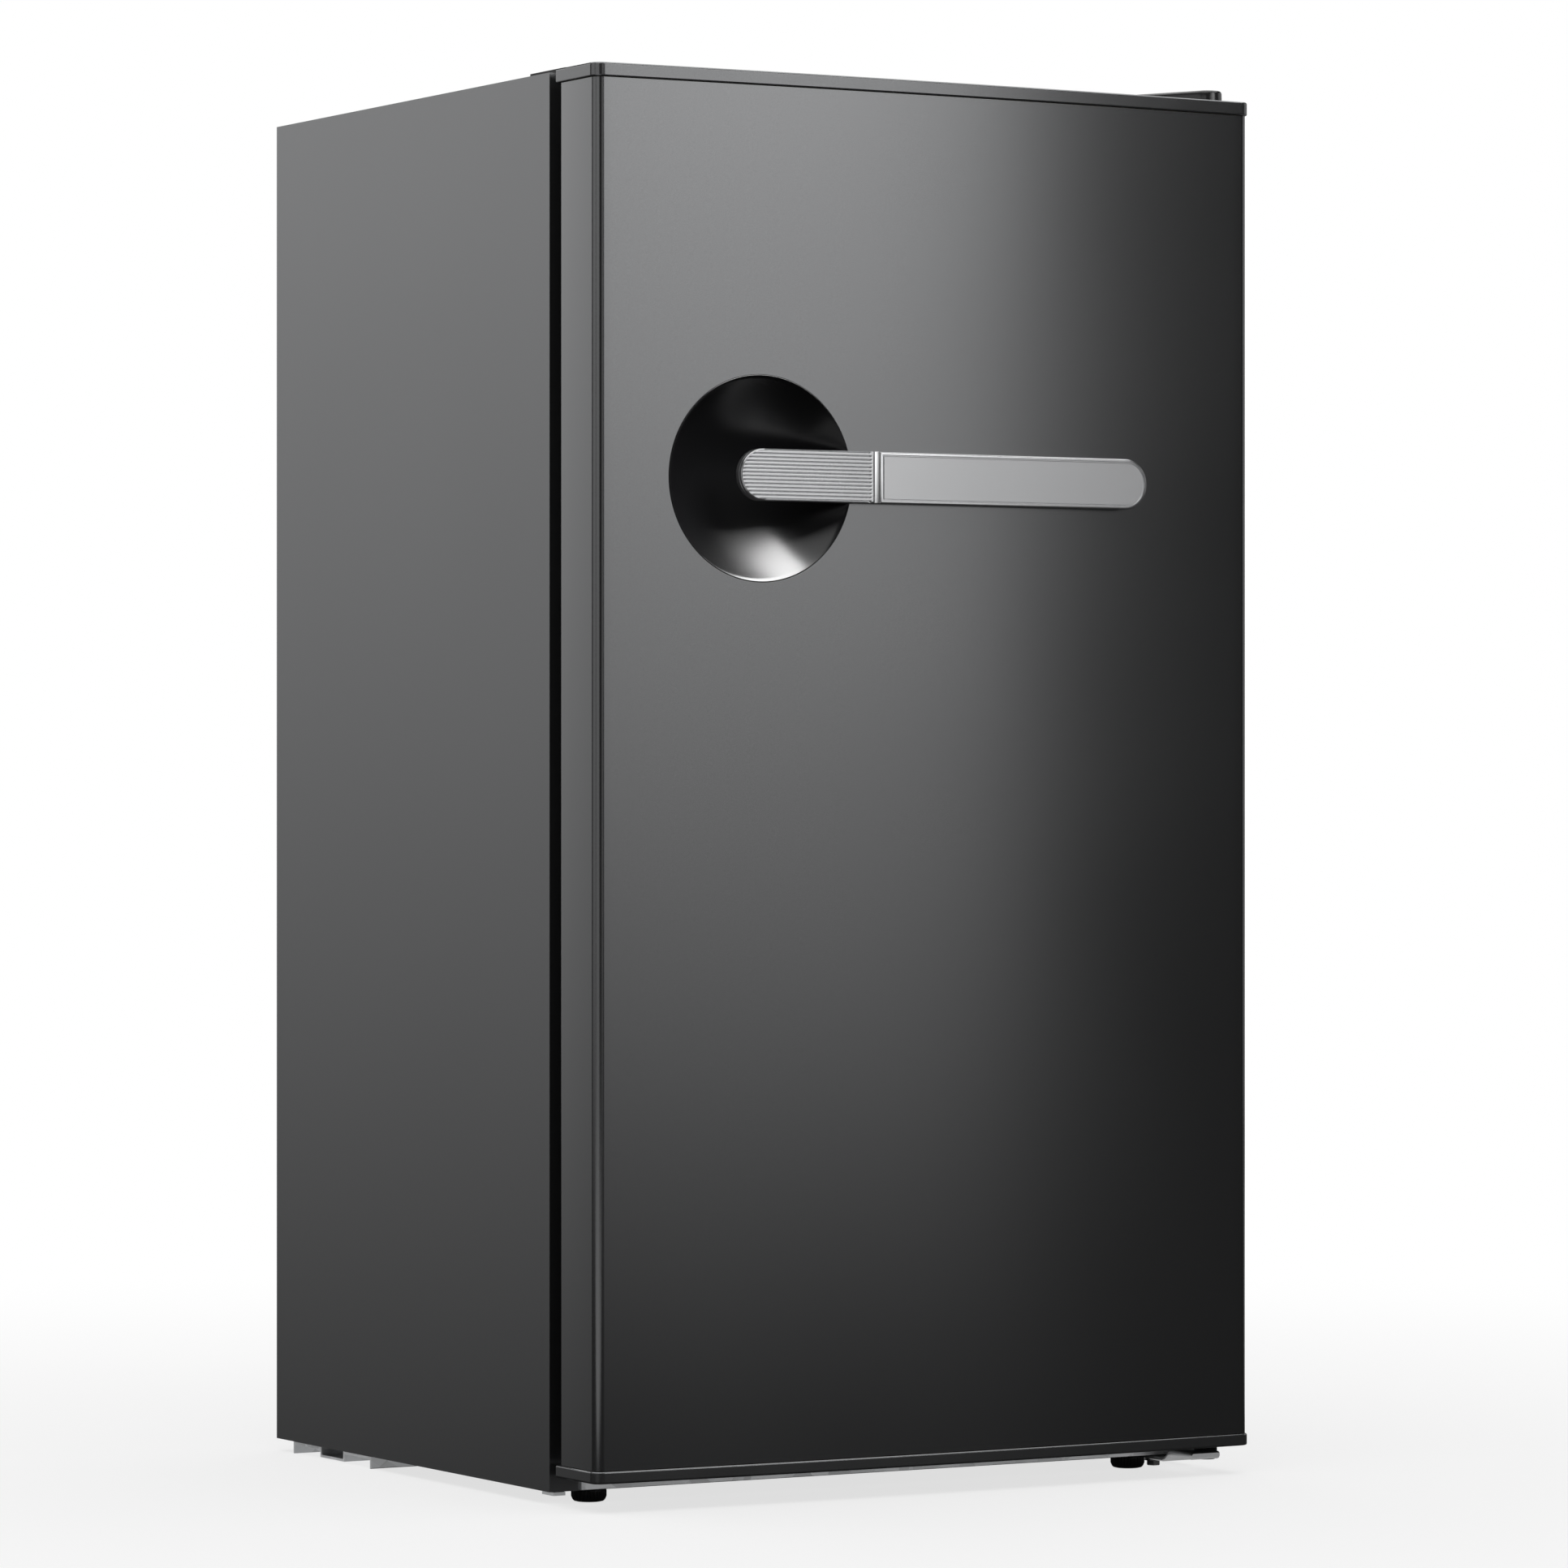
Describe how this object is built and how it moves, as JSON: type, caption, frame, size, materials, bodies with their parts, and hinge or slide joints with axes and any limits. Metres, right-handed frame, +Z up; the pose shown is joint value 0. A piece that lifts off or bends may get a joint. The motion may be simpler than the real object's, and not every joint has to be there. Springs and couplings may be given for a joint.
{
  "type": "mini fridge",
  "caption": "Single-door compact refrigerator with a bowed door, a bar handle over a round finger dish, a small ice compartment, glass shelves, door bins and a rear condenser.",
  "frame": {"origin": "on the floor, below the middle of the fridge's overall width and depth", "axes": "+Z up, +X to the viewer's right when facing the door, +Y from the door to the back"},
  "size_m": [0.4474, 0.4652, 0.83],
  "materials": {
    "shell_paint": "dark grey satin paint with a fine grain on steel sheet",
    "door_paint": "dark grey satin paint on steel sheet, same finish as the cabinet",
    "cap_plastic": "dark grey moulded plastic, semi gloss",
    "black_plastic": "black moulded plastic, fine texture",
    "gloss_black": "polished piano black",
    "satin_silver": "fine brushed satin",
    "bright_chrome": "polished",
    "liner_white": "vacuum-formed white sheet, soft gloss",
    "white_plastic": "white moulded plastic",
    "clear_plastic": "clear moulded plastic",
    "foam": "rigid cream foam",
    "gasket_rubber": "soft dark grey vinyl",
    "zinc": "galvanised steel sheet",
    "evaporator_alu": "mill finish roll-bond sheet",
    "glass": "clear toughened glass with a green edge",
    "black_enamel": "black stoved paint",
    "copper": "drawn copper tube, slightly dulled",
    "grommet_rubber": "moulded rubber"
  },
  "bodies": {
    "cabinet": {"outer_shell": "shell_paint", "back_panel": "zinc", "bottom_panel": "zinc", "niche_panel": "zinc", "cabinet_foam": "foam", "inner_liner": "liner_white", "front_rail": "zinc", "corner_tab": "zinc", "top_hinge_bracket": "zinc", "top_hinge_pin": "zinc", "top_hinge_cover": "black_plastic", "bottom_hinge_bracket": "zinc", "bottom_hinge_pin": "zinc", "spare_hinge_cover": "black_plastic", "foot_nut_bar": "zinc", "compressor_base": "zinc", "compressor": "black_enamel", "compressor_grommet_1": "grommet_rubber", "compressor_grommet_2": "grommet_rubber", "compressor_grommet_3": "grommet_rubber", "compressor_grommet_4": "grommet_rubber", "relay_cover": "black_plastic", "evaporation_tray": "black_plastic", "condenser_coil": "black_enamel", "condenser_strap_left": "black_enamel", "condenser_strap_right": "black_enamel", "discharge_tube": "copper", "suction_tube": "copper", "filter_drier": "copper", "liquid_tube": "copper", "capillary_tube": "copper", "evaporator": "evaporator_alu", "ice_frame": "white_plastic", "thermostat_housing": "white_plastic", "thermostat": "zinc"},
    "door": {"door_panel": "door_paint", "door_top_cap": "cap_plastic", "door_bottom_cap": "cap_plastic", "door_foam": "foam", "door_liner": "liner_white", "door_gasket": "gasket_rubber", "top_hinge_bush": "white_plastic", "bottom_hinge_bush": "white_plastic", "handle_dish": "gloss_black", "handle_bar": "satin_silver", "handle_grip": "satin_silver", "handle_divider": "bright_chrome", "handle_plate": "satin_silver"},
    "ice_flap": {"ice_flap": "white_plastic"},
    "drip_tray": {"drip_tray": "clear_plastic"},
    "thermostat_knob": {"thermostat_knob": "white_plastic"},
    "upper_bin": {"upper_bin": "clear_plastic"},
    "middle_bin": {"middle_bin": "clear_plastic"},
    "bottle_rack": {"bottle_rack": "clear_plastic"},
    "left_foot": {"left_foot": "black_plastic"},
    "right_foot": {"right_foot": "black_plastic"},
    "lower_shelf": {"lower_shelf_glass": "glass", "lower_shelf_trim": "white_plastic"},
    "upper_shelf": {"upper_shelf_glass": "glass", "upper_shelf_trim": "white_plastic"}
  },
  "joints": [
    {"name": "door_hinge", "type": "hinge", "parent": "cabinet", "child": "door", "pos_m": [0.207, -0.1969, 0.42], "axis": [0, 0, 1], "range_deg": [0, 120]},
    {"name": "ice_flap_hinge", "type": "hinge", "parent": "cabinet", "child": "ice_flap", "pos_m": [-0.033, -0.0424, 0.671], "axis": [1, 0, 0], "range_deg": [0, 90]},
    {"name": "drip_tray_slide", "type": "slide", "parent": "cabinet", "child": "drip_tray", "axis": [0, -1, 0], "range_m": [0, 0.08]},
    {"name": "thermostat_turn", "type": "hinge", "parent": "cabinet", "child": "thermostat_knob", "pos_m": [0.142, -0.0679, 0.722], "axis": [-1, 0, 0], "range_deg": [0, 270]},
    {"name": "lower_shelf_slide", "type": "slide", "parent": "cabinet", "child": "lower_shelf", "axis": [0, -1, 0], "range_m": [0, 0.07]},
    {"name": "upper_shelf_slide", "type": "slide", "parent": "cabinet", "child": "upper_shelf", "axis": [0, -1, 0], "range_m": [0, 0.07]},
    {"name": "left_foot_height", "type": "slide", "parent": "cabinet", "child": "left_foot", "axis": [0, 0, -1], "range_m": [0, 0.01]},
    {"name": "right_foot_height", "type": "slide", "parent": "cabinet", "child": "right_foot", "axis": [0, 0, -1], "range_m": [0, 0.01]},
    {"name": "upper_bin_lift", "type": "slide", "parent": "door", "child": "upper_bin", "axis": [0, 0, 1], "range_m": [0, 0.04]},
    {"name": "middle_bin_lift", "type": "slide", "parent": "door", "child": "middle_bin", "axis": [0, 0, 1], "range_m": [0, 0.04]},
    {"name": "bottle_rack_lift", "type": "slide", "parent": "door", "child": "bottle_rack", "axis": [0, 0, 1], "range_m": [0, 0.04]}
  ]
}
